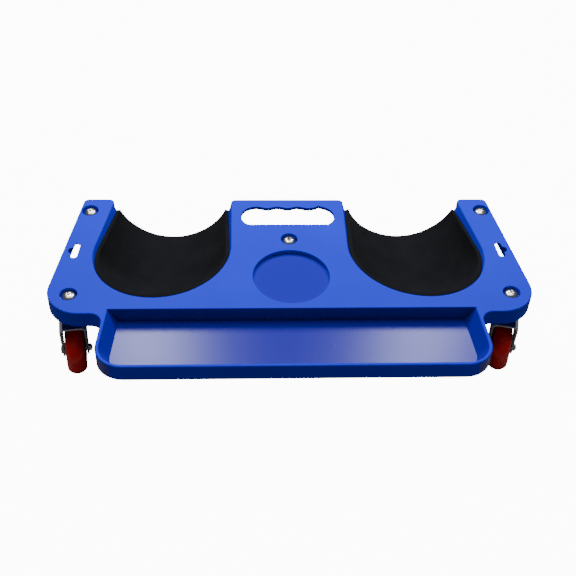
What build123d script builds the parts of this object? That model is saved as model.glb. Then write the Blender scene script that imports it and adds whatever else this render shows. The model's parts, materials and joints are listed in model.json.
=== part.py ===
from math import atan, cos, pi, radians, sin, sqrt, tan
import os

from build123d import *

os.makedirs("parts", exist_ok=True)

# Rolling knee creeper: X to the right, Y to the rear, Z up, floor at Z = 0.

# --- platform moulding ---------------------------------------------------
deck_top = 130.0          # standing height
skirt_bottom = 104.0      # lower edge of the skirt and of the tray walls
wall = 4.0                # moulded wall
corner_x = 364.0          # virtual front corner of the deck outline
corner_y = -78.0
rear_x = 323.0            # virtual rear corner
rear_y = 180.0
cradle_rear_y = 168.0     # open rear end of both knee cradles
arm_inner_x = 275.6
island_half = 90.5        # centre island between the cradles
island_rear_y = 178.4
deck_corner_r = 50.0
rear_corner_r = 11.0
edge_r = 2.0              # rounding of the top edges
rib = 2.5

# --- tool tray -----------------------------------------------------------
tray_rear_y = -68.9
tray_front_y = -180.2
tray_rear_half = 265.6
tray_front_half = 275.0
tray_floor = 107.0
tray_rim = 4.5
tray_slope = 15.0         # the side walls lean in by this much at the floor
tray_corner_r = 40.0

# --- knee cradles --------------------------------------------------------
cradle_axis_z = 152.0
cradle_x = 193.4          # centre of the rounded front end
cradle_y = 57.95
cradle_r = 105.9
cradle_taper = radians(5.24)
cradle_splay = 0.0937     # X shift per mm of Y, knees spread to the front
pad_gap = 0.2             # glue film
pad_thick = 6.5
pad_rear_z = 118.5        # upper edge of the pad at the rear end
pad_front_z = 127.5
pad_front_y = -45.0

# --- recesses and slots --------------------------------------------------
dish_y = -1.8
dish_r = 57.4
dish_depth = 6.5
grip_half = 73.5
grip_front_y = 116.0
grip_rear_y = 158.5
grip_waves = 4
grip_lip = 5.5            # depth of the slot's collar
grip_notch = 10.0
hang_x = 324.1
hang_y = 55.7
hang_length = 32.0
hang_width = 10.0
hang_lean = 5.7
hang_skin = 2.0           # the deck is thinned round the hanging slots

# --- casters -------------------------------------------------------------
stems = {
    "front_left": (-323.4, -38.3),
    "front_right": (323.4, -38.3),
    "rear_left": (-311.5, 151.1),
    "rear_right": (311.5, 151.1),
    "centre": (0.0, 81.7),
}
bore_r = 13.0             # counterbore for the bolt head
seat_z = 121.0            # counterbore floor
boss_r = 17.5
boss_bottom = 101.0
bolt_r = 5.0
bolt_length = 47.0
washer_thick = 2.0
head_r = 11.0
head_height = 6.6
cap_thick = 2.5
cap_r = 21.5
ball_r = 2.45
ball_gap = 5.0
ball_ring_r = 15.0
ball_count = 12
sheet = 2.5               # fork metal
fork_top = boss_bottom - cap_thick - ball_gap
fork_plate_r = 22.0
fork_gap = 33.0
fork_reach = 36.0         # the fork's arch runs forward over the wheel
shoulder = 5.0
bush_r = 8.0
wheel_r = 38.0
trail = 21.5
tread_width = 27.0
core_r = 28.0
hub_width = 30.0
hub_r = 15.0
bearing_r = 11.0          # 608 bearing, 22 x 8 x 7
bearing_width = 7.0
axle_r = 4.0
axle_bolt_r = 3.0
race_mid_r = 7.5
race_ball_r = 1.95
rim_inner_r = 24.0
web = 6.0
spokes = 6
bearing_x = hub_width / 2 - bearing_width / 2
at_rest = {"front_left": 8, "front_right": -14, "rear_left": 12, "rear_right": -6, "centre": 4}


def save(builder, name):
    builder.part.label = name
    export_step(builder.part, f"parts/{name}.step")


# --- knee cradle surface, also used for the pads -------------------------
def splayed(solid, side):
    """Shear a solid of revolution about Y so its axis opens outwards."""
    lean = Matrix(
        [
            [1, -side * cradle_splay, 0, side * (cradle_x + cradle_splay * cradle_y)],
            [0, 1, 0, 0],
            [0, 0, 1, 0],
            [0, 0, 0, 1],
        ]
    )
    return solid.transform_geometry(lean)


def cradle_solid(radius, side, rear_y):
    """Cone that widens to the front and ends in a tangent sphere."""
    join_y = cradle_y + radius * sin(cradle_taper)
    join_r = radius * cos(cradle_taper)
    end_r = join_r - (rear_y - join_y) * tan(cradle_taper)
    with BuildPart() as scoop:
        with BuildSketch(Plane.XY):
            with BuildLine():
                nose = (0, cradle_y - radius)
                mid = (
                    radius * cos(radians(40)),
                    cradle_y - radius * sin(radians(40)),
                )
                ThreePointArc(nose, mid, (join_r, join_y))
                Polyline((join_r, join_y), (end_r, rear_y), (0, rear_y), nose)
            make_face()
        revolve(axis=Axis.Y)
    raised = Pos(0, 0, cradle_axis_z) * scoop.part.solid()
    return splayed(raised, side)


# --- platform ------------------------------------------------------------
def deck_plan(inset=0.0):
    """Outline of the deck and tray together, optionally moved inwards."""
    with BuildSketch() as plan:
        with BuildLine():
            Polyline(
                (0, island_rear_y),
                (island_half, island_rear_y),
                (island_half, cradle_rear_y),
                (arm_inner_x, cradle_rear_y),
                (arm_inner_x, rear_y),
                (rear_x, rear_y),
                (corner_x, corner_y),
                (0, corner_y),
            )
            mirror(about=Plane.YZ)
        make_face()
        front = plan.vertices().group_by(Axis.Y)[0]
        fillet(front.filter_by(lambda v: abs(v.X) > 1), deck_corner_r)
        rear = plan.vertices().filter_by(lambda v: v.Y > cradle_rear_y + 5)
        fillet(rear.filter_by(lambda v: abs(v.X) > 1), rear_corner_r - 2.5)
        with BuildSketch(mode=Mode.PRIVATE) as tray:
            with BuildLine():
                Polyline(
                    (0, tray_rear_y),
                    (tray_rear_half + tray_rim, tray_rear_y),
                    (tray_front_half + tray_rim, tray_front_y),
                    (0, tray_front_y),
                )
                mirror(about=Plane.YZ)
            make_face()
            ends = tray.vertices().group_by(Axis.Y)[0]
            fillet(ends.filter_by(lambda v: abs(v.X) > 1), tray_corner_r)
        add(tray.sketch)
        inner = plan.vertices().filter_by(
            lambda v: abs(v.Y - corner_y) < 0.5 and abs(v.X) < tray_front_half + tray_rim
        )
        fillet(inner, 17)
        if inset:
            offset(amount=-inset, kind=Kind.INTERSECTION, mode=Mode.REPLACE)
    return plan.sketch


def tray_outline(half_rear, half_front, rear, front, radius):
    with BuildSketch() as plan:
        with BuildLine():
            Polyline(
                (-half_rear, rear),
                (half_rear, rear),
                (half_front, front),
                (-half_front, front),
                close=True,
            )
        make_face()
        fillet(plan.vertices().group_by(Axis.Y)[0], radius)
    return plan.sketch


def tray_shape(grow):
    """Tray hollow between floor and deck, grown by a wall where asked."""
    top = tray_outline(
        tray_rear_half + grow,
        tray_front_half + grow,
        tray_rear_y + grow,
        tray_front_y + tray_rim - min(grow, tray_rim - 1),
        tray_corner_r - tray_rim,
    )
    floor = tray_outline(
        tray_rear_half - tray_slope + grow,
        tray_front_half - tray_slope + grow,
        tray_rear_y + grow - 0.8,
        tray_front_y + tray_rim + 6 - grow,
        tray_corner_r - 12,
    )
    with BuildPart() as pocket:
        with BuildSketch(Plane.XY.offset(tray_floor - grow)):
            add(floor)
        with BuildSketch(Plane.XY.offset(deck_top)):
            add(top)
        loft(ruled=True)
    return pocket.part


with BuildPart() as deck_block:
    with Locations((0, (cradle_rear_y - 100) / 2, 80)):
        Box(800, cradle_rear_y + 100, 2 * (deck_top - 80))
keep = deck_block.part


def euro_slot():
    """Hanging slot: a long slot along the edge with a wider middle."""
    with BuildSketch() as slot:
        SlotOverall(hang_length, hang_width, rotation=90)
        with Locations((hang_width / 2, 0)):
            Circle(6)
        fillet(slot.vertices(), 1.5)
    return slot.sketch


def grip_slot():
    """Carrying slot whose rear edge has one hollow per finger."""
    reach = grip_half - 11
    step = 2 * reach / grip_waves
    with BuildSketch() as slot:
        with BuildLine():
            rear = [(-reach, grip_rear_y - 2.2)]
            for finger in range(grip_waves):
                x = -reach + finger * step
                rear.append((x + step / 2, grip_rear_y + 1.4))
                rear.append((x + step, grip_rear_y - 2.2))
            waves = Spline(*rear, tangents=[(1, 0.5), (1, -0.5)])
            right = ThreePointArc(
                waves @ 1, (grip_half, grip_rear_y - 24), (grip_half - 11, grip_front_y)
            )
            front = Line(right @ 1, (11 - grip_half, grip_front_y))
            ThreePointArc(front @ 1, (-grip_half, grip_rear_y - 24), waves @ 0)
        make_face()
    return slot.sketch


outline = deck_plan()
inner_outline = deck_plan(wall)
rib_outline = deck_plan(wall - 1)
grip = grip_slot()
slot_right = Pos(hang_x, hang_y) * Rot(0, 0, hang_lean) * euro_slot()
slot_left = mirror(slot_right, Plane.YZ)
tray_skin = tray_shape(3.5)
tray_hollow = tray_shape(0)
shells = [cradle_solid(cradle_r + wall, side, rear_y + 20) & keep for side in (-1, 1)]
scoops = [cradle_solid(cradle_r, side, rear_y + 20) for side in (-1, 1)]

with BuildPart() as ribs:
    with BuildSketch(Plane.XY.offset(skirt_bottom + 2)):
        add(rib_outline)
    extrude(amount=deck_top - skirt_bottom - 3)
    with BuildSketch(Plane.XY.offset(skirt_bottom + 2)):
        for x in range(-300, 301, 60):
            with Locations((x, 0)):
                Rectangle(rib, 500)
        for y in (-48, 12, 92):
            with Locations((0, y)):
                Rectangle(800, rib)
    extrude(amount=deck_top - skirt_bottom - 3, mode=Mode.INTERSECT)
    # the carrying grip stays free of ribs
    with Locations((0, rear_y, deck_top - 4)):
        Box(2 * island_half - 8, 2 * (rear_y - grip_front_y + wall), 50, mode=Mode.SUBTRACT)
    # and so do the hanging slots, so that a hook can reach well behind them
    with Locations((-hang_x, hang_y + 16, deck_top - 20), (hang_x, hang_y + 16, deck_top - 20)):
        Box(2 * (hang_x - 300 - rib / 2), 84, 60, mode=Mode.SUBTRACT)

# everything that the underside leaves open between skirt, ribs and shells
with BuildPart() as hollow:
    with BuildSketch(Plane.XY.offset(skirt_bottom - 1)):
        add(inner_outline)
    extrude(amount=deck_top - skirt_bottom - wall + 1)
    add(ribs.part, mode=Mode.SUBTRACT)
    with BuildSketch(Plane.XY.offset(deck_top - dish_depth - wall)):
        with Locations((0, dish_y)):
            Circle(dish_r + wall)
    extrude(amount=dish_depth + wall, mode=Mode.SUBTRACT)
    with BuildSketch(Plane.XY.offset(deck_top - grip_lip)):
        with Locations((0, (grip_front_y + grip_rear_y) / 2)):
            deep = grip_rear_y - grip_front_y
            RectangleRounded(2 * (grip_half + wall), deep + 2 * wall, deep / 2)
    extrude(amount=grip_lip, mode=Mode.SUBTRACT)
    with BuildSketch(Plane.XY.offset(boss_bottom)):
        with Locations(*stems.values()):
            Circle(boss_r)
    extrude(amount=deck_top - boss_bottom, mode=Mode.SUBTRACT)
    add(tray_skin, mode=Mode.SUBTRACT)
    add(shells, mode=Mode.SUBTRACT)

with BuildPart() as platform:
    with BuildSketch(Plane.XY.offset(skirt_bottom)):
        add(outline)
    extrude(amount=deck_top - skirt_bottom)
    add(shells)
    add(scoops, mode=Mode.SUBTRACT)
    fillet(platform.faces().filter_by(Plane.XY).sort_by(Axis.Z)[-1].edges(), edge_r)
    add(hollow.part, mode=Mode.SUBTRACT)
    with BuildSketch(Plane.XY.offset(boss_bottom)):
        with Locations(*stems.values()):
            Circle(boss_r)
    extrude(amount=8)
    add(tray_hollow, mode=Mode.SUBTRACT)
    with BuildSketch(Plane.XY.offset(deck_top)):
        with Locations((0, dish_y)):
            Circle(dish_r)
    extrude(amount=-dish_depth, mode=Mode.SUBTRACT)
    with BuildSketch(Plane.XY.offset(deck_top - hang_skin)):
        for side in (-1, 1):
            with Locations((side * hang_x, hang_y)):
                SlotOverall(hang_length + 14, hang_width + 16, rotation=90 + side * hang_lean)
    extrude(amount=hang_skin - wall - 1, mode=Mode.SUBTRACT)
    with Locations(*[(x, y, deck_top) for x, y in stems.values()]):
        CounterBoreHole(bolt_r + 0.3, bore_r, deck_top - seat_z)
    with BuildSketch(Plane.XY.offset(deck_top)):
        add(grip)
        add(slot_right)
        add(slot_left)
    extrude(amount=-30, mode=Mode.SUBTRACT)
    # the rear skirt is cut back under the grip for the fingers
    with BuildSketch(Plane.XZ.offset(-rear_y - 5)):
        with Locations((0, skirt_bottom)):
            SlotOverall(2 * grip_half + 26, 2 * grip_notch)
    extrude(amount=rear_y + 5 - grip_rear_y - wall, mode=Mode.SUBTRACT)
save(platform, "platform")


# --- foam knee pads ------------------------------------------------------
def knee_pad(side):
    outer = cradle_solid(cradle_r - pad_gap, side, cradle_rear_y)
    inner = cradle_solid(cradle_r - pad_gap - pad_thick, side, cradle_rear_y + 5)
    slope = atan((pad_front_z - pad_rear_z) / (cradle_rear_y - pad_front_y))
    cut = Plane((0, cradle_rear_y, pad_rear_z), x_dir=(1, 0, 0), z_dir=(0, sin(slope), cos(slope)))
    with BuildPart() as pad:
        add(outer)
        add(inner, mode=Mode.SUBTRACT)
        split(bisect_by=cut, keep=Keep.BOTTOM)
    return pad


for side, hand in ((-1, "left"), (1, "right")):
    save(knee_pad(side), f"knee_pad_{hand}")


# --- bolted swivel stack, one set per caster -----------------------------
def at_stems(solid):
    """One copy of a stack piece on each stem, as separate solids."""
    return Compound([Pos(x, y, 0) * solid for x, y in stems.values()])


def save_group(solid, name):
    group = at_stems(solid)
    group.label = name
    export_step(group, f"parts/{name}.step")


def ring(inner, outer, bottom, top):
    with BuildPart() as washer:
        with BuildSketch(Plane.XY.offset(bottom)):
            Circle(outer)
            Circle(inner, mode=Mode.SUBTRACT)
        extrude(amount=top - bottom)
        chamfer(washer.edges().filter_by(GeomType.CIRCLE), 0.25)
    return washer.part.solid()


cap_bottom = boss_bottom - cap_thick
fork_under = fork_top - sheet
thrust_bottom = fork_under - 0.1 - 2.0
lower_bottom = thrust_bottom - 2.0
nut_bottom = lower_bottom - 9.9
head_z = seat_z + washer_thick

with BuildPart() as bolt:
    with BuildSketch(Plane.XZ):
        with BuildLine():
            foot = head_z - bolt_length
            Polyline((0, head_z + head_height), (0, foot), (bolt_r - 1, foot), (bolt_r, foot + 1))
            Polyline((bolt_r, foot + 1), (bolt_r, head_z), (head_r, head_z), (head_r, head_z + 2.4))
            crown = (0, head_z + head_height)
            rim_point = (head_r, head_z + 2.4)
            shoulder_point = (head_r * 0.72, head_z + head_height * 0.84)
            ThreePointArc(rim_point, shoulder_point, crown)
        make_face()
    revolve(axis=Axis.Z)
    with BuildSketch(Plane.XY.offset(head_z + head_height + 1)):
        Rectangle(10.5, 2.1, rotation=20)
        Rectangle(2.1, 10.5, rotation=20)
    extrude(amount=-4.0, mode=Mode.SUBTRACT)
save_group(bolt.part.solid(), "caster_bolts")

save_group(ring(bolt_r + 0.3, head_r + 0.8, seat_z, head_z), "bolt_washers")

with BuildPart() as cap:
    with BuildSketch(Plane.XZ):
        with BuildLine():
            Polyline(
                (bolt_r + 0.1, boss_bottom),
                (cap_r - 1.5, boss_bottom),
                (cap_r, boss_bottom - 1.5),
                (cap_r, fork_top + 0.8),
                (cap_r - 1.4, fork_top + 0.8),
                (cap_r - 1.4, cap_bottom),
                (bolt_r + 0.1, cap_bottom),
                close=True,
            )
        make_face()
    revolve(axis=Axis.Z)
    with BuildSketch(Plane.XZ):
        with Locations((ball_ring_r, fork_top + ball_gap / 2)):
            Circle(ball_gap / 2 + 0.15)
    revolve(axis=Axis.Z, mode=Mode.SUBTRACT)
save_group(cap.part.solid(), "race_caps")

with BuildPart() as ball:
    Sphere(ball_r)
balls = []
for x, y in stems.values():
    for turn in range(ball_count):
        angle = 2 * pi * turn / ball_count
        spot = (x + ball_ring_r * cos(angle), y + ball_ring_r * sin(angle), fork_top + ball_gap / 2)
        balls.append(Pos(*spot) * ball.part.solid())
race_balls = Compound(balls)
race_balls.label = "race_balls"
export_step(race_balls, "parts/race_balls.step")

save_group(ring(bolt_r + 0.1, bush_r, lower_bottom + 2, cap_bottom), "king_pin_bushes")
save_group(ring(bush_r + 0.1, bush_r + 3.4, thrust_bottom, fork_under - 0.1), "thrust_washers")
save_group(ring(bolt_r + 0.1, bush_r + 4, lower_bottom, thrust_bottom), "lower_washers")

with BuildPart() as nut:
    with BuildSketch(Plane.XY.offset(nut_bottom)):
        RegularPolygon(17 / 2, 6, major_radius=False)
    extrude(amount=9.9)
    with BuildSketch(Plane.XZ):
        with BuildLine():
            Polyline((0, nut_bottom), (7.6, nut_bottom), (7.9, nut_bottom + 2.2), (9.0, nut_bottom + 2.8))
            Polyline((9.0, nut_bottom + 2.8), (9.9, nut_bottom + 3.4), (9.9, nut_bottom + 9.4))
            Polyline((9.9, nut_bottom + 9.4), (8.4, nut_bottom + 9.9), (0, nut_bottom + 9.9), (0, nut_bottom))
        make_face()
    revolve(axis=Axis.Z, mode=Mode.INTERSECT)
    with Locations((0, 0, nut_bottom + 9.9)):
        Hole(bolt_r + 0.02)
save_group(nut.part.solid(), "lock_nuts")


# --- one swivel fork and wheel, modelled at the stem axis ----------------
half_out = fork_gap / 2 + sheet

with BuildPart() as fork:
    with BuildSketch(Plane.XZ) as channel:
        with BuildLine():
            Polyline(
                (-half_out, wheel_r - 14),
                (-half_out, fork_top - shoulder),
                (shoulder - half_out, fork_top),
                (half_out - shoulder, fork_top),
                (half_out, fork_top - shoulder),
                (half_out, wheel_r - 14),
                close=True,
            )
        make_face()
        with BuildLine():
            lean = sheet * (sqrt(2) - 1)
            Polyline(
                (sheet - half_out, wheel_r - 15),
                (sheet - half_out, fork_top - shoulder - lean),
                (shoulder - half_out + lean, fork_under),
                (half_out - shoulder - lean, fork_under),
                (half_out - sheet, fork_top - shoulder - lean),
                (half_out - sheet, wheel_r - 15),
                close=True,
            )
        make_face(mode=Mode.SUBTRACT)
    extrude(amount=60, both=True)
    with BuildSketch(Plane.YZ) as cheek:
        with BuildLine():
            Polyline(
                (17, fork_top + 1),
                (17, fork_top - 9),
                (9.5 - trail, wheel_r - 3),
                (-9.5 - trail, wheel_r - 3),
                (-fork_reach, fork_top - 6),
                (-fork_reach, fork_top + 1),
                close=True,
            )
        make_face()
        with Locations((-trail, wheel_r)):
            Circle(10)
        with Locations((-trail, wheel_r)):
            Circle(axle_bolt_r + 0.1, mode=Mode.SUBTRACT)
        corners = cheek.vertices().filter_by(lambda v: abs(v.Z - fork_top + 9) < 0.1)
        fillet(corners, 6)
    extrude(amount=30, both=True, mode=Mode.INTERSECT)
    with BuildSketch(Plane.XY.offset(fork_under)):
        Circle(fork_plate_r)
    extrude(amount=sheet)
    with BuildSketch(Plane.XY.offset(fork_under - 1)):
        Circle(bush_r + 0.05)
    extrude(amount=sheet + 2, mode=Mode.SUBTRACT)


def across(inner, outer, start, end):
    """Ring around the wheel axle between two X positions."""
    with BuildPart() as tube:
        with BuildSketch(Plane.YZ.offset(start)):
            with Locations((-trail, wheel_r)):
                Circle(outer)
                Circle(inner, mode=Mode.SUBTRACT)
        extrude(amount=end - start)
    return tube.part.solid()


with BuildPart() as axle_bolt:
    with BuildSketch(Plane.YZ.offset(-half_out - 3)):
        with Locations((-trail, wheel_r)):
            RegularPolygon(5, 6, major_radius=False)
    extrude(amount=3)
    chamfer(axle_bolt.edges().group_by(Axis.X)[0], 0.5)
    with BuildSketch(Plane.YZ.offset(-half_out)):
        with Locations((-trail, wheel_r)):
            Circle(axle_bolt_r)
    extrude(amount=2 * half_out + 5.5)
    chamfer(axle_bolt.edges().group_by(Axis.X)[-1], 0.6)

with BuildPart() as axle_nut:
    with BuildSketch(Plane.YZ.offset(half_out)):
        with Locations((-trail, wheel_r)):
            RegularPolygon(5, 6, major_radius=False)
            Circle(axle_bolt_r + 0.02, mode=Mode.SUBTRACT)
    extrude(amount=4.5)
    outer_end = axle_nut.faces().sort_by(Axis.X)[-1].outer_wire().edges()
    chamfer(outer_end, 0.8)

axle_sleeve = across(axle_bolt_r + 0.1, axle_r, -fork_gap / 2, fork_gap / 2)


wheel_axis = Axis((0, -trail, wheel_r), (1, 0, 0))
wheel_plane = Plane((0, -trail, wheel_r), x_dir=(0, 0, 1), z_dir=(0, 1, 0))

with BuildPart() as tread:
    with BuildSketch(wheel_plane):
        with BuildLine():
            half = tread_width / 2
            side_r = wheel_r - 7
            Polyline((side_r, -half), (core_r, 1 - half), (core_r, half - 1), (side_r, half))
            # the rolling face is crowned from side to side
            ThreePointArc((side_r, half), (wheel_r, 0), (side_r, -half))
        make_face()
    revolve(axis=wheel_axis)

with BuildPart() as core:
    with BuildSketch(wheel_plane):
        Rectangle(core_r, tread_width - 2, align=(Align.MIN, Align.CENTER))
        Rectangle(hub_r, hub_width, align=(Align.MIN, Align.CENTER))
    revolve(axis=wheel_axis)
    with BuildSketch(wheel_plane):
        with Locations((hub_r, 0)):
            Rectangle(rim_inner_r - hub_r, tread_width, align=(Align.MIN, Align.CENTER))
            Rectangle(rim_inner_r - hub_r, web, align=(Align.MIN, Align.CENTER), mode=Mode.SUBTRACT)
    revolve(axis=wheel_axis, mode=Mode.SUBTRACT)
    with BuildSketch(Plane.YZ.offset(2 - tread_width / 2)):
        with Locations((-trail, wheel_r)):
            with PolarLocations((hub_r + rim_inner_r) / 2, spokes):
                Rectangle(rim_inner_r - hub_r + 3, 3)
    extrude(amount=tread_width - 4)
    with BuildSketch(wheel_plane):
        Rectangle(bearing_r - 1.5, hub_width + 2, align=(Align.MIN, Align.CENTER))
        for side in (-1, 1):
            with Locations((0, side * bearing_x)):
                Rectangle(bearing_r, bearing_width, align=(Align.MIN, Align.CENTER))
    revolve(axis=wheel_axis, mode=Mode.SUBTRACT)


def race(inner, outer, middle, lips):
    """Bearing ring with its ball groove; lips are the shields' free edge."""
    with BuildPart() as turned:
        with BuildSketch(Plane(wheel_plane.origin + (middle, 0, 0), x_dir=(0, 0, 1), z_dir=(0, 1, 0))):
            with Locations(((inner + outer) / 2, 0)):
                Rectangle(outer - inner, bearing_width - 0.2)
            if lips:
                for side in (-1, 1):
                    with Locations((lips, side * (bearing_width / 2 - 0.5))):
                        Rectangle(inner - lips + 0.2, 0.4, align=(Align.MIN, Align.CENTER))
            with Locations((race_mid_r, 0)):
                Circle(race_ball_r + 0.08, mode=Mode.SUBTRACT)
        revolve(axis=wheel_axis)
    return turned.part.solid()


inner_rings = [race(axle_r + 0.02, 6.1, x, 0) for x in (-bearing_x, bearing_x)]
outer_rings = [race(8.8, bearing_r - 0.02, x, 6.4) for x in (-bearing_x, bearing_x)]
with BuildPart() as race_ball:
    Sphere(race_ball_r)
bearing_balls = []
for x in (-bearing_x, bearing_x):
    for turn in range(7):
        angle = 2 * pi * turn / 7
        spot = (x, race_mid_r * cos(angle) - trail, race_mid_r * sin(angle) + wheel_r)
        bearing_balls.append(Pos(*spot) * race_ball.part.solid())

caster_pieces = {
    "fork": [fork.part.solid()],
    "axle_bolt": [axle_bolt.part.solid()],
    "axle_nut": [axle_nut.part.solid()],
    "axle_sleeve": [axle_sleeve],
    "bearing_inner_rings": inner_rings,
    "tread": [tread.part.solid()],
    "core": [core.part.solid()],
    "bearing_outer_rings": outer_rings,
    "bearing_balls": bearing_balls,
}
for place, (x, y) in stems.items():
    for piece, solids in caster_pieces.items():
        moved = Compound([Pos(x, y, 0) * Rot(0, 0, at_rest[place]) * solid for solid in solids])
        moved.label = f"{place}_{piece}"
        export_step(moved, f"parts/{place}_{piece}.step")
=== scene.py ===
import json
import math

import bmesh
import bpy
from mathutils import Matrix, Quaternion, Vector, noise


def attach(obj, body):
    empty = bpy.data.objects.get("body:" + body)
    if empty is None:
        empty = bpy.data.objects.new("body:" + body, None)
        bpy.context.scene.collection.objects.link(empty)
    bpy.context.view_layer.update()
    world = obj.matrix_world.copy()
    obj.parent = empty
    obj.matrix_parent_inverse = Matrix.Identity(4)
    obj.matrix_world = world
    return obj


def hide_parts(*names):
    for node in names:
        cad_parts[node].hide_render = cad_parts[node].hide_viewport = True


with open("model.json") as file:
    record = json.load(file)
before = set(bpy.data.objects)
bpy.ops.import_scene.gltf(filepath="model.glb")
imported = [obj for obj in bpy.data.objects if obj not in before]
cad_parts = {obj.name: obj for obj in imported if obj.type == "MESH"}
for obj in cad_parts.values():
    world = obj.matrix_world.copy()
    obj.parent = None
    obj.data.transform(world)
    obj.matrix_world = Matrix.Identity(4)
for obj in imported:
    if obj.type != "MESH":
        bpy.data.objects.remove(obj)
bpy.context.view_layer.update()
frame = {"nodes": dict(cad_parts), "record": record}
nodes = frame["nodes"]
print("frame loaded:", len(nodes), "nodes")


# node helpers

def wire(tree, source, target):
    tree.links.new(source, target)


def newGroup(name, inputs, outputs):
    group = bpy.data.node_groups.new(name, "ShaderNodeTree")
    for socketName, kind, value in inputs:
        socket = group.interface.new_socket(socketName, in_out="INPUT", socket_type=kind)
        if value is not None:
            socket.default_value = value
    for socketName, kind in outputs:
        group.interface.new_socket(socketName, in_out="OUTPUT", socket_type=kind)
    return group, group.nodes.new("NodeGroupInput"), group.nodes.new("NodeGroupOutput")


def mathNode(tree, operation, first, second=None, third=None, clamp=False):
    node = tree.nodes.new("ShaderNodeMath")
    node.operation = operation
    node.use_clamp = clamp
    for index, value in enumerate((first, second, third)):
        if value is None:
            continue
        if isinstance(value, (int, float)):
            node.inputs[index].default_value = value
        else:
            wire(tree, value, node.inputs[index])
    return node.outputs[0]


def noiseNode(tree, vector, scale, detail=2.0, rough=0.5):
    node = tree.nodes.new("ShaderNodeTexNoise")
    node.inputs["Detail"].default_value = detail
    node.inputs["Roughness"].default_value = rough
    if isinstance(scale, (int, float)):
        node.inputs["Scale"].default_value = scale
    else:
        wire(tree, scale, node.inputs["Scale"])
    wire(tree, vector, node.inputs["Vector"])
    return node.outputs["Fac"]


def rangeNode(tree, value, fromLow, fromHigh, toLow, toHigh, smooth=False):
    node = tree.nodes.new("ShaderNodeMapRange")
    node.interpolation_type = "SMOOTHSTEP" if smooth else "LINEAR"
    wire(tree, value, node.inputs["Value"])
    for name, number in (
        ("From Min", fromLow), ("From Max", fromHigh), ("To Min", toLow), ("To Max", toHigh),
    ):
        if isinstance(number, (int, float)):
            node.inputs[name].default_value = number
        else:
            wire(tree, number, node.inputs[name])
    return node.outputs["Result"]


# fine texture of a moulded or etched surface: height for bump, shade for colour

grainLook = {
    "fineDetail": 3.0,
    "fineRough": 0.6,
    "broadDetail": 2.0,
    "broadRough": 0.5,
    "fineShare": 0.4,
    "broadShare": 0.6,
}


def buildGrainGroup():
    group, inlet, outlet = newGroup(
        "surfaceGrain",
        [("Vector", "NodeSocketVector", None), ("Grain Size", "NodeSocketFloat", 0.001),
         ("Blotch Size", "NodeSocketFloat", 0.05)],
        [("Height", "NodeSocketFloat"), ("Shade", "NodeSocketFloat")],
    )
    fineScale = mathNode(group, "DIVIDE", 1.0, inlet.outputs["Grain Size"])
    broadScale = mathNode(group, "DIVIDE", 1.0, inlet.outputs["Blotch Size"])
    vector = inlet.outputs["Vector"]
    fine = noiseNode(group, vector, fineScale, grainLook["fineDetail"], grainLook["fineRough"])
    broad = noiseNode(group, vector, broadScale, grainLook["broadDetail"], grainLook["broadRough"])
    wire(group, fine, outlet.inputs["Height"])
    finePart = mathNode(group, "MULTIPLY", fine, grainLook["fineShare"])
    broadPart = mathNode(group, "MULTIPLY", broad, grainLook["broadShare"])
    wire(group, mathNode(group, "ADD", finePart, broadPart), outlet.inputs["Shade"])
    return group


# small scratches and rubbed spots, more of them where the noise allows

scuffLook = {
    "lean": 0.6,
    "stretch": (6.0, 0.6, 3.0),
    "lineDetail": 4.0,
    "lineRough": 0.7,
    "lineRange": (0.62, 0.70),
    "patchScale": 0.35,
    "patchRange": (0.50, 0.62),
}


def buildScuffGroup():
    group, inlet, outlet = newGroup(
        "handlingScuffs",
        [("Vector", "NodeSocketVector", None), ("Size", "NodeSocketFloat", 0.01),
         ("Amount", "NodeSocketFloat", 0.3)],
        [("Mask", "NodeSocketFloat")],
    )
    scale = mathNode(group, "DIVIDE", 1.0, inlet.outputs["Size"])
    stretch = group.nodes.new("ShaderNodeMapping")
    stretch.inputs["Rotation"].default_value = (0.0, 0.0, scuffLook["lean"])
    stretch.inputs["Scale"].default_value = scuffLook["stretch"]
    wire(group, inlet.outputs["Vector"], stretch.inputs["Vector"])
    scratches = noiseNode(group, stretch.outputs["Vector"], scale,
                          scuffLook["lineDetail"], scuffLook["lineRough"])
    patchScale = mathNode(group, "MULTIPLY", scale, scuffLook["patchScale"])
    patches = noiseNode(group, inlet.outputs["Vector"], patchScale)
    lines = rangeNode(group, scratches, *scuffLook["lineRange"], 0.0, 1.0, True)
    areas = rangeNode(group, patches, *scuffLook["patchRange"], 0.0, 1.0, True)
    both = mathNode(group, "MULTIPLY", lines, areas)
    wire(group, mathNode(group, "MULTIPLY", both, inlet.outputs["Amount"]), outlet.inputs["Mask"])
    return group


grainGroup = buildGrainGroup()
scuffGroup = buildScuffGroup()


def newMaterial(name):
    material = bpy.data.materials.new(name)
    material.use_nodes = True
    tree = material.node_tree
    shader = tree.nodes["Principled BSDF"]
    coords = tree.nodes.new("ShaderNodeTexCoord")
    return material, tree, shader, coords.outputs["Object"]


def placeGroup(tree, group, vector, **sockets):
    node = tree.nodes.new("ShaderNodeGroup")
    node.node_tree = group
    wire(tree, vector, node.inputs["Vector"])
    for name, value in sockets.items():
        node.inputs[name].default_value = value
    return node


def blendColours(tree, factor, low, high):
    ramp = tree.nodes.new("ShaderNodeMix")
    ramp.data_type = "RGBA"
    for socket, value in ((ramp.inputs[6], low), (ramp.inputs[7], high)):
        if isinstance(value, tuple):
            socket.default_value = (*value, 1.0)
        else:
            wire(tree, value, socket)
    wire(tree, factor, ramp.inputs[0])
    return ramp.outputs[2]


def addBump(tree, shader, height, distance, strength=1.0):
    bump = tree.nodes.new("ShaderNodeBump")
    bump.inputs["Distance"].default_value = distance
    bump.inputs["Strength"].default_value = strength
    wire(tree, height, bump.inputs["Height"])
    wire(tree, bump.outputs["Normal"], shader.inputs["Normal"])
    return bump


# platform plastic: etched grain on the deck, polished mould faces in tray and dish

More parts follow.
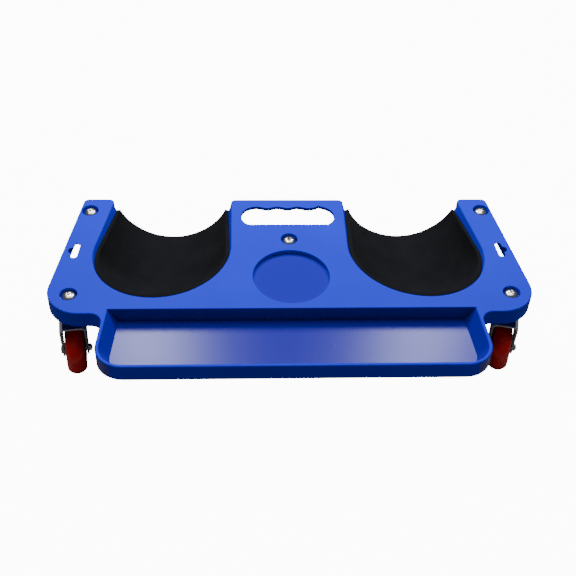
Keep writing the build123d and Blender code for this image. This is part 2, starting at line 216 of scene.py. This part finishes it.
mounts = {mount["name"]: mount["pos_m"] for mount in frame["record"]["mounts"]}
rooms = {room["name"]: room["box_m"] for room in frame["record"]["physics"]["openings"]}

deckFinish = {
    "deckColour": (0.010, 0.024, 0.700),
    "deckLight": (0.013, 0.031, 0.780),
    "polishedColour": (0.011, 0.008, 0.360),
    "deckRoughness": 0.55,
    "polishedRoughness": 0.25,
    "deckSheen": 0.055,
    "traySheen": 0.19,
    "roughSpread": 0.05,
    "grainSize": 0.0011,
    "grainDepth": 0.00012,
    "blotchSize": 0.09,
    "grainLost": 0.95,
    "scuffSize": 0.02,
    "scuffAmount": 0.25,
    "scuffDulling": 0.15,
    "polishedDulling": 0.2,
    "dishPolish": 0.8,
    "refraction": 1.49,
    "traySide": 0.022,
    "trayRear": 0.0025,
    "trayFront": 0.016,
    "polishedBottom": 0.1055,
    "polishedTop": 0.1285,
    "dishRadius": 0.0571,
}


# 1 where the distance from the middle of the dish seat is under its radius
def insideDish(tree, x, y):
    middleX, middleY = mounts["dish_seat"][:2]
    squares = []
    for place, middle in ((x, middleX), (y, middleY)):
        away = mathNode(tree, "SUBTRACT", place, middle)
        squares.append(mathNode(tree, "MULTIPLY", away, away))
    distance = mathNode(tree, "SQRT", mathNode(tree, "ADD", *squares))
    return mathNode(tree, "LESS_THAN", distance, deckFinish["dishRadius"])


# 1 between the tray's walls, which stand a little outside the room for tools
def insideTray(tree, x, y):
    low, high = rooms["tool_tray"]
    halfWidth = high[0] + deckFinish["traySide"]
    between = mathNode(tree, "LESS_THAN", mathNode(tree, "ABSOLUTE", x), halfWidth)
    behind = mathNode(tree, "LESS_THAN", y, high[1] + deckFinish["trayRear"])
    ahead = mathNode(tree, "GREATER_THAN", y, low[1] - deckFinish["trayFront"])
    return mathNode(tree, "MULTIPLY", mathNode(tree, "MULTIPLY", between, behind), ahead)


def buildDeckPlastic():
    material, tree, shader, position = newMaterial("deckPlastic")
    split = tree.nodes.new("ShaderNodeSeparateXYZ")
    wire(tree, position, split.inputs["Vector"])
    x, y, z = (split.outputs[axis] for axis in "XYZ")
    # below the rim and above the underside
    low = mathNode(tree, "LESS_THAN", z, deckFinish["polishedTop"])
    above = mathNode(tree, "GREATER_THAN", z, deckFinish["polishedBottom"])
    level = mathNode(tree, "MULTIPLY", low, above)
    inTray = mathNode(tree, "MULTIPLY", insideTray(tree, x, y), level)
    inDish = mathNode(tree, "MULTIPLY", insideDish(tree, x, y), level)
    grain = placeGroup(tree, grainGroup, position, **{
        "Grain Size": deckFinish["grainSize"], "Blotch Size": deckFinish["blotchSize"]})
    scuffs = placeGroup(tree, scuffGroup, position,
                        Size=deckFinish["scuffSize"], Amount=deckFinish["scuffAmount"])
    base = blendColours(
        tree, rangeNode(tree, grain.outputs["Shade"], 0.35, 0.65, 0.0, 1.0),
        deckFinish["deckColour"], deckFinish["deckLight"])
    dishShare = mathNode(tree, "MULTIPLY", inDish, deckFinish["dishPolish"])
    smoothFace = mathNode(tree, "MAXIMUM", inTray, dishShare)
    colour = blendColours(tree, smoothFace, base, deckFinish["polishedColour"])
    wire(tree, colour, shader.inputs["Base Color"])
    spread = deckFinish["roughSpread"]
    rough = rangeNode(tree, grain.outputs["Shade"], 0.3, 0.7,
                      deckFinish["deckRoughness"] - spread, deckFinish["deckRoughness"] + spread)
    dulled = mathNode(tree, "MULTIPLY", scuffs.outputs["Mask"], deckFinish["scuffDulling"])
    rough = mathNode(tree, "ADD", rough, dulled)
    rubbed = mathNode(tree, "MULTIPLY", scuffs.outputs["Mask"], deckFinish["polishedDulling"])
    polished = mathNode(tree, "ADD", deckFinish["polishedRoughness"], rubbed)
    mixRough = rangeNode(tree, inTray, 0.0, 1.0, rough, polished)
    wire(tree, mixRough, shader.inputs["Roughness"])
    lost = mathNode(tree, "MULTIPLY", smoothFace, deckFinish["grainLost"])
    flat = mathNode(tree, "SUBTRACT", 1.0, lost)
    height = mathNode(tree, "MULTIPLY", grain.outputs["Height"], flat)
    addBump(tree, shader, height, deckFinish["grainDepth"])
    shader.inputs["IOR"].default_value = deckFinish["refraction"]
    sheen = rangeNode(tree, inTray, 0.0, 1.0, deckFinish["deckSheen"], deckFinish["traySheen"])
    wire(tree, sheen, shader.inputs["Specular IOR Level"])
    return material


# closed-cell foam of the knee pads

foamFinish = {
    "dark": (0.0086, 0.0086, 0.0094),
    "light": (0.0132, 0.0132, 0.0144),
    "cellSize": 0.0016,
    "cellDepth": 0.00025,
    "cellShare": 0.5,
    "blotchSize": 0.03,
    "scuffSize": 0.03,
    "scuffPaleness": 0.8,
    "roughness": 0.75,
    "roughSpread": 0.08,
    "shine": 0.02,
    "sheen": 0.012,
    "sheenRoughness": 0.6,
}


def buildPadFoam():
    material, tree, shader, position = newMaterial("padFoam")
    grain = placeGroup(tree, grainGroup, position, **{
        "Grain Size": foamFinish["cellSize"], "Blotch Size": foamFinish["blotchSize"]})
    cells = tree.nodes.new("ShaderNodeTexVoronoi")
    cells.inputs["Scale"].default_value = 1.0 / foamFinish["cellSize"]
    wire(tree, position, cells.inputs["Vector"])
    scuffs = placeGroup(tree, scuffGroup, position, Size=foamFinish["scuffSize"], Amount=1.0)
    shade = rangeNode(tree, grain.outputs["Shade"], 0.35, 0.65, 0.0, 1.0)
    pale = mathNode(tree, "MULTIPLY", scuffs.outputs["Mask"], foamFinish["scuffPaleness"])
    shade = mathNode(tree, "ADD", shade, pale, clamp=True)
    colour = blendColours(tree, shade, foamFinish["dark"], foamFinish["light"])
    wire(tree, colour, shader.inputs["Base Color"])
    spread = foamFinish["roughSpread"]
    rough = rangeNode(tree, grain.outputs["Shade"], 0.3, 0.7,
                      foamFinish["roughness"] - spread, foamFinish["roughness"] + spread)
    wire(tree, rough, shader.inputs["Roughness"])
    cellHeight = mathNode(tree, "MULTIPLY", cells.outputs["Distance"], foamFinish["cellShare"])
    height = mathNode(tree, "ADD", cellHeight, grain.outputs["Height"])
    addBump(tree, shader, height, foamFinish["cellDepth"])
    shader.inputs["Specular IOR Level"].default_value = foamFinish["shine"]
    shader.inputs["Sheen Weight"].default_value = foamFinish["sheen"]
    shader.inputs["Sheen Roughness"].default_value = foamFinish["sheenRoughness"]
    return material


# plated steel in several brightnesses

steelFinishes = {
    "bolt_zinc": {
        "name": "boltZinc", "colour": (0.72, 0.70, 0.66), "roughness": 0.22,
        "grainSize": 0.0006, "grainDepth": 0.00002,
    },
    "fork_zinc": {
        "name": "forkZinc", "colour": (0.60, 0.62, 0.64), "roughness": 0.30,
        "grainSize": 0.0012, "grainDepth": 0.00003,
    },
    "ball_steel": {
        "name": "ballSteel", "colour": (0.56, 0.56, 0.56), "roughness": 0.12,
        "grainSize": 0.0004, "grainDepth": 0.000005,
    },
}

steelWear = {
    "darkShare": 0.78,
    "blotchSize": 0.012,
    "dullSpread": 0.08,
    "brightSpread": 0.05,
    "scuffSize": 0.006,
    "scuffDulling": 0.2,
}


def buildPlatedSteel(finish):
    material, tree, shader, position = newMaterial(finish["name"])
    grain = placeGroup(tree, grainGroup, position, **{
        "Grain Size": finish["grainSize"], "Blotch Size": steelWear["blotchSize"]})
    scuffs = placeGroup(tree, scuffGroup, position, Size=steelWear["scuffSize"], Amount=1.0)
    darker = tuple(channel * steelWear["darkShare"] for channel in finish["colour"])
    shade = rangeNode(tree, grain.outputs["Shade"], 0.3, 0.7, 0.0, 1.0)
    wire(tree, blendColours(tree, shade, darker, finish["colour"]), shader.inputs["Base Color"])
    rough = rangeNode(tree, grain.outputs["Shade"], 0.3, 0.7,
                      finish["roughness"] + steelWear["dullSpread"],
                      finish["roughness"] - steelWear["brightSpread"])
    dulled = mathNode(tree, "MULTIPLY", scuffs.outputs["Mask"], steelWear["scuffDulling"])
    wire(tree, mathNode(tree, "ADD", rough, dulled), shader.inputs["Roughness"])
    addBump(tree, shader, grain.outputs["Height"], finish["grainDepth"])
    shader.inputs["Metallic"].default_value = 1.0
    return material


# cast polyurethane tread: deep red, glossy, a little dusty where it rolls

treadFinish = {
    "deep": (0.820, 0.0060, 0.0040),
    "bright": (0.950, 0.0130, 0.0080),
    "roughness": 0.24,
    "smoothSpread": 0.05,
    "dullSpread": 0.07,
    "grainSize": 0.0009,
    "grainDepth": 0.00003,
    "blotchSize": 0.02,
    "scuffSize": 0.012,
    "scuffDulling": 0.3,
    "shine": 0.4,
}


def buildTreadUrethane():
    material, tree, shader, position = newMaterial("treadUrethane")
    grain = placeGroup(tree, grainGroup, position, **{
        "Grain Size": treadFinish["grainSize"], "Blotch Size": treadFinish["blotchSize"]})
    scuffs = placeGroup(tree, scuffGroup, position, Size=treadFinish["scuffSize"], Amount=1.0)
    shade = rangeNode(tree, grain.outputs["Shade"], 0.35, 0.65, 0.0, 1.0)
    wire(tree, blendColours(tree, shade, treadFinish["deep"], treadFinish["bright"]),
         shader.inputs["Base Color"])
    rough = rangeNode(tree, grain.outputs["Shade"], 0.3, 0.7,
                      treadFinish["roughness"] - treadFinish["smoothSpread"],
                      treadFinish["roughness"] + treadFinish["dullSpread"])
    dusty = mathNode(tree, "MULTIPLY", scuffs.outputs["Mask"], treadFinish["scuffDulling"])
    wire(tree, mathNode(tree, "ADD", rough, dusty), shader.inputs["Roughness"])
    addBump(tree, shader, grain.outputs["Height"], treadFinish["grainDepth"])
    shader.inputs["Specular IOR Level"].default_value = treadFinish["shine"]
    return material


# moulded nylon: black for the wheel bodies, natural for the washers

nylonFinishes = {
    "core_nylon": {
        "name": "coreNylon", "roughness": 0.45,
        "dark": (0.010, 0.010, 0.011), "light": (0.022, 0.022, 0.024),
    },
    "nylon": {
        "name": "washerNylon", "roughness": 0.4,
        "dark": (0.62, 0.60, 0.54), "light": (0.72, 0.70, 0.64),
    },
}

nylonWear = {
    "grainSize": 0.0008,
    "grainDepth": 0.00006,
    "blotchSize": 0.015,
    "roughSpread": 0.06,
    "scuffSize": 0.01,
    "scuffDulling": 0.2,
}


def buildMouldedNylon(finish):
    material, tree, shader, position = newMaterial(finish["name"])
    grain = placeGroup(tree, grainGroup, position, **{
        "Grain Size": nylonWear["grainSize"], "Blotch Size": nylonWear["blotchSize"]})
    scuffs = placeGroup(tree, scuffGroup, position, Size=nylonWear["scuffSize"], Amount=1.0)
    shade = rangeNode(tree, grain.outputs["Shade"], 0.35, 0.65, 0.0, 1.0)
    wire(tree, blendColours(tree, shade, finish["dark"], finish["light"]), shader.inputs["Base Color"])
    spread = nylonWear["roughSpread"]
    rough = rangeNode(tree, grain.outputs["Shade"], 0.3, 0.7,
                      finish["roughness"] - spread, finish["roughness"] + spread)
    dulled = mathNode(tree, "MULTIPLY", scuffs.outputs["Mask"], nylonWear["scuffDulling"])
    wire(tree, mathNode(tree, "ADD", rough, dulled), shader.inputs["Roughness"])
    addBump(tree, shader, grain.outputs["Height"], nylonWear["grainDepth"])
    return material


padFoam = buildPadFoam()
slotMaterials = {
    "deck_plastic": buildDeckPlastic(),
    "pad_foam": padFoam,
    "tread_polyurethane": buildTreadUrethane(),
}
for slotName, finish in steelFinishes.items():
    slotMaterials[slotName] = buildPlatedSteel(finish)
for slotName, finish in nylonFinishes.items():
    slotMaterials[slotName] = buildMouldedNylon(finish)
print("materials built")

# every CAD piece takes the finish of its slot
for part in frame["record"]["subparts"]:
    target = nodes[part["node"]]
    target.data.materials.clear()
    target.data.materials.append(slotMaterials[part["material_slot"]])


# foam knee pads: a bent sheet, cut square at its edges and glued into the cradle

padShape = {
    "noseCentre": (0.1934, 0.05795, 0.152),
    "outerRadius": 0.1055,
    "thickness": 0.0063,
    "taper": math.radians(5.24),
    "splay": 0.0937,
    "rearEnd": 0.1675,
    "rearTop": 0.1170,
    "frontTop": 0.1272,
    "frontY": -0.045,
    "edgeRound": 0.0013,
    "edgeSegments": 3,
    "noseSteps": 26,
    "lengthSteps": 14,
    "troughSteps": 72,
    "tinyEdge": 0.0004,
    "sharpAngle": math.radians(50),
    "waviness": 0.0006,
    "wavesPerMetre": 22.0,
    "waveShift": 7.3,
}


def buildKneePad(name, side):
    shape = padShape
    radius = shape["outerRadius"]
    centreX, centreY, centreZ = shape["noseCentre"]
    taper = shape["taper"]
    mesh = bmesh.new()
    # profile from the nose round to the cone, then straight to the rear end
    start = bmesh.ops.create_vert(mesh, co=(0.0, -radius, 0.0))["vert"]
    bmesh.ops.spin(mesh, geom=start, cent=(0, 0, 0), axis=(0, 0, 1), dvec=(0, 0, 0),
                   angle=math.pi / 2 + taper, steps=shape["noseSteps"], use_duplicate=False)
    mesh.verts.ensure_lookup_table()
    tip = max(mesh.verts, key=lambda v: v.co.y)
    stride = (shape["rearEnd"] - centreY - tip.co.y) / shape["lengthSteps"]
    for step in range(shape["lengthSteps"]):
        grown = bmesh.ops.extrude_vert_indiv(mesh, verts=[tip])["verts"]
        bmesh.ops.translate(mesh, verts=grown, vec=(-stride * math.tan(taper), stride, 0))
        tip = grown[0]
    # half a turn under the axis makes the trough
    bmesh.ops.spin(mesh, geom=mesh.edges[:], cent=(0, 0, 0), axis=(0, 1, 0), dvec=(0, 0, 0),
                   angle=math.pi, steps=shape["troughSteps"], use_duplicate=False)
    bmesh.ops.remove_doubles(mesh, verts=mesh.verts[:], dist=1e-6)
    lean = Matrix.Identity(4)
    lean[0][1] = -side * shape["splay"]
    place = Matrix.Translation((side * centreX, centreY, centreZ))
    bmesh.ops.transform(mesh, matrix=place @ lean, verts=mesh.verts[:])
    slope = (shape["frontTop"] - shape["rearTop"]) / (shape["rearEnd"] - shape["frontY"])
    bmesh.ops.bisect_plane(
        mesh, geom=mesh.verts[:] + mesh.edges[:] + mesh.faces[:],
        plane_co=(0, shape["rearEnd"], shape["rearTop"]), plane_no=(0, slope, 1), clear_outer=True)
    bmesh.ops.dissolve_degenerate(mesh, dist=shape["tinyEdge"], edges=mesh.edges[:])
    bmesh.ops.recalc_face_normals(mesh, faces=mesh.faces[:])
    # normals face the cradle, so that the wall grows the other way, towards the knee
    lowest = min(mesh.faces, key=lambda f: f.calc_center_median().z)
    if lowest.normal.z > 0:
        bmesh.ops.reverse_faces(mesh, faces=mesh.faces[:])
    bmesh.ops.solidify(mesh, geom=mesh.faces[:], thickness=shape["thickness"])
    rim = [e for e in mesh.edges
           if len(e.link_faces) == 2 and e.calc_face_angle(0) > shape["sharpAngle"]]
    bmesh.ops.bevel(mesh, geom=rim, offset=shape["edgeRound"], offset_type="OFFSET",
                    segments=shape["edgeSegments"], profile=0.5, affect="EDGES", material=-1,
                    clamp_overlap=True)
    # the sheet never lies quite evenly
    mesh.normal_update()
    for vert in mesh.verts:
        wavePoint = vert.co * shape["wavesPerMetre"] + Vector((shape["waveShift"] * side, 0, 0))
        drift = noise.noise(wavePoint)
        vert.co += vert.normal * drift * shape["waviness"]
    padMesh = bpy.data.meshes.new(name)
    mesh.to_mesh(padMesh)
    mesh.free()
    for face in padMesh.polygons:
        face.use_smooth = True
    pad = bpy.data.objects.new(name, padMesh)
    bpy.context.scene.collection.objects.link(pad)
    padMesh.materials.append(padFoam)
    return pad


for side, hand in ((-1, "left"), (1, "right")):
    pad = buildKneePad(f"{hand}KneePad", side)
    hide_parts(f"knee_pad_{hand}")
    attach(pad, "deck")
print("knee pads built")


# pale floor, soft light and the camera

stageSetup = {
    "floorColour": (0.30, 0.30, 0.30),
    "floorHalfWidth": 40.0,
    "floorGrainSize": 0.01,
    "floorBlotchSize": 0.8,
    "floorShade": 0.985,
    "floorRoughness": 0.9,
    "floorGlow": 12.0,
    "worldColour": (1.0, 1.0, 1.0),
    "worldStrength": 0.10,
    "sensorWidth": 36.0,
    "focalLength": 62.5,
    "cameraPlace": (-0.0762, -1.0819, 1.1436),
    "cameraPitch": math.radians(43.813),
    "cameraYaw": math.radians(3.815),
    "cameraRoll": math.radians(2.380),
}

softboxes = {
    "rearLeftBox": {
        "place": (-0.40, 1.23, 1.57), "aim": (-0.20, -0.12, 0.1), "width": 0.26, "height": 0.72,
        "power": 27.0, "tint": (0.84, 0.87, 1.0),
    },
    "rearRightBox": {
        "place": (0.54, 1.23, 1.57), "aim": (0.2, -0.12, 0.1), "width": 0.24, "height": 0.72,
        "power": 22.0, "tint": (0.84, 0.87, 1.0),
    },
    "topBox": {
        "place": (0.0, 0.55, 2.4), "aim": (0.0, 0.0, 0.1), "width": 2.2, "height": 1.0,
        "power": 26.0, "tint": (1.0, 1.0, 1.0),
    },
}


def buildFloor():
    mesh = bmesh.new()
    bmesh.ops.create_grid(mesh, x_segments=2, y_segments=2, size=stageSetup["floorHalfWidth"])
    floorMesh = bpy.data.meshes.new("paleFloor")
    mesh.to_mesh(floorMesh)
    mesh.free()
    floor = bpy.data.objects.new("paleFloor", floorMesh)
    bpy.context.scene.collection.objects.link(floor)
    material, tree, shader, position = newMaterial("floorPaint")
    grain = placeGroup(tree, grainGroup, position, **{
        "Grain Size": stageSetup["floorGrainSize"], "Blotch Size": stageSetup["floorBlotchSize"]})
    level = stageSetup["floorColour"]
    shaded = tuple(channel * stageSetup["floorShade"] for channel in level)
    wire(tree, blendColours(tree, grain.outputs["Shade"], shaded, level), shader.inputs["Base Color"])
    shader.inputs["Roughness"].default_value = stageSetup["floorRoughness"]
    # bright only to the camera, so the floor looks pale without lighting the object
    rays = tree.nodes.new("ShaderNodeLightPath")
    glow = mathNode(tree, "MULTIPLY", rays.outputs["Is Camera Ray"], stageSetup["floorGlow"])
    wire(tree, glow, shader.inputs["Emission Strength"])
    floorMesh.materials.append(material)


def addSoftbox(name, place, aim, width, height, power, tint):
    light = bpy.data.lights.new(name, "AREA")
    light.shape = "RECTANGLE"
    light.size = width
    light.size_y = height
    light.energy = power
    light.color = tint
    lamp = bpy.data.objects.new(name, light)
    lamp.location = place
    lamp.rotation_mode = "QUATERNION"
    lamp.rotation_quaternion = (Vector(aim) - Vector(place)).to_track_quat("-Z", "Y")
    bpy.context.scene.collection.objects.link(lamp)


def buildCamera():
    pitch, yaw = stageSetup["cameraPitch"], stageSetup["cameraYaw"]
    ahead = Vector((math.sin(yaw) * math.cos(pitch), math.cos(yaw) * math.cos(pitch), -math.sin(pitch)))
    cameraData = bpy.data.cameras.new("studioCamera")
    cameraData.sensor_width = stageSetup["sensorWidth"]
    cameraData.lens = stageSetup["focalLength"]
    camera = bpy.data.objects.new("studioCamera", cameraData)
    camera.location = stageSetup["cameraPlace"]
    camera.rotation_mode = "QUATERNION"
    turn = Quaternion((0, 0, 1), stageSetup["cameraRoll"])
    camera.rotation_quaternion = ahead.to_track_quat("-Z", "Y") @ turn
    bpy.context.scene.collection.objects.link(camera)
    bpy.context.scene.camera = camera


# like the floor, the backdrop is bright only to the camera
def buildBackdrop():
    world = bpy.data.worlds.new("softWorld")
    world.use_nodes = True
    tree = world.node_tree
    backdrop = tree.nodes["Background"]
    backdrop.inputs["Color"].default_value = (*stageSetup["worldColour"], 1.0)
    rays = tree.nodes.new("ShaderNodeLightPath")
    level = rangeNode(tree, rays.outputs["Is Camera Ray"], 0.0, 1.0,
                      stageSetup["worldStrength"], stageSetup["floorGlow"])
    wire(tree, level, backdrop.inputs["Strength"])
    bpy.context.scene.world = world


buildFloor()
buildBackdrop()
for name, box in softboxes.items():
    addSoftbox(name, **box)
buildCamera()
print("stage and camera set")
